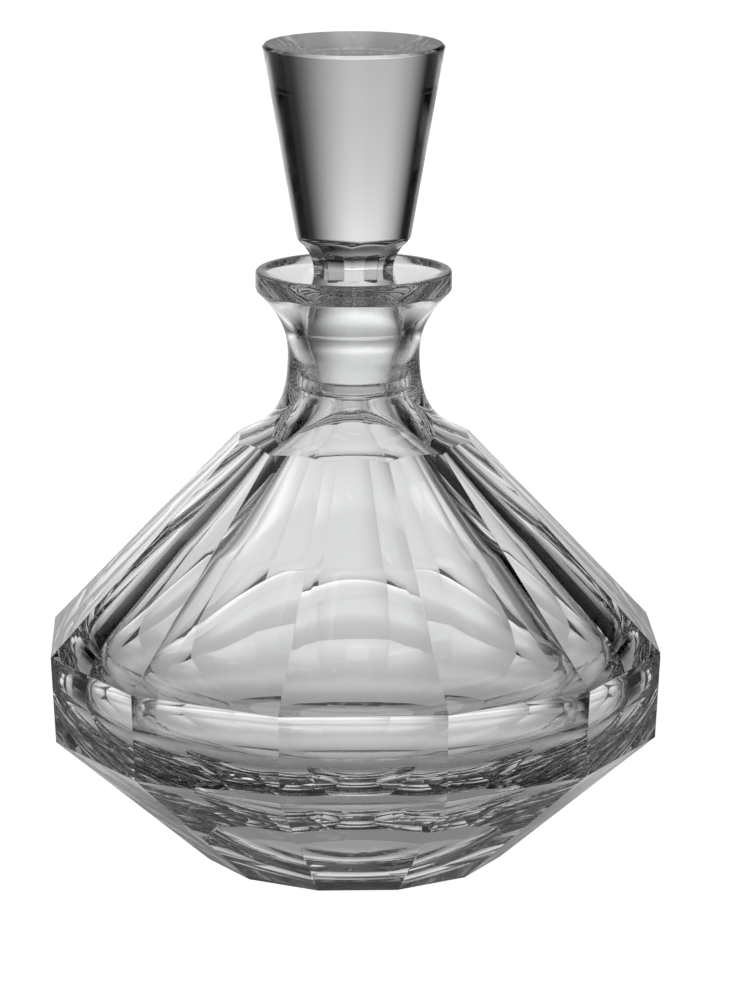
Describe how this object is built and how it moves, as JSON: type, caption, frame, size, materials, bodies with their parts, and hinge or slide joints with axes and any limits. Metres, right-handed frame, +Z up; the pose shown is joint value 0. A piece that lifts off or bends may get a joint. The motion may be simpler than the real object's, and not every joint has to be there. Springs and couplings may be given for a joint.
{
  "type": "crystal decanter",
  "caption": "Wide faceted clear crystal decanter with a round neck, a flared lip and a tall fluted stopper that lifts out of a ground bore.",
  "frame": {"origin": "centre of the flat base, on the surface that the decanter stands on", "axes": "+Z up along the axis of the neck and stopper; a flat of the twelve-sided body faces -Y, the front"},
  "size_m": [0.1768, 0.1768, 0.24],
  "materials": {
    "body_crystal": "polished, clear and colourless",
    "stopper_crystal": "polished, clear and colourless, with a ground plug"
  },
  "bodies": {
    "decanter": {"decanter_body": "body_crystal"},
    "stopper_piece": {"stopper": "stopper_crystal"}
  },
  "joints": [
    {"name": "stopper_lift", "type": "slide", "parent": "decanter", "child": "stopper_piece", "axis": [0, 0, 1], "range_m": [0, 0.06]}
  ]
}
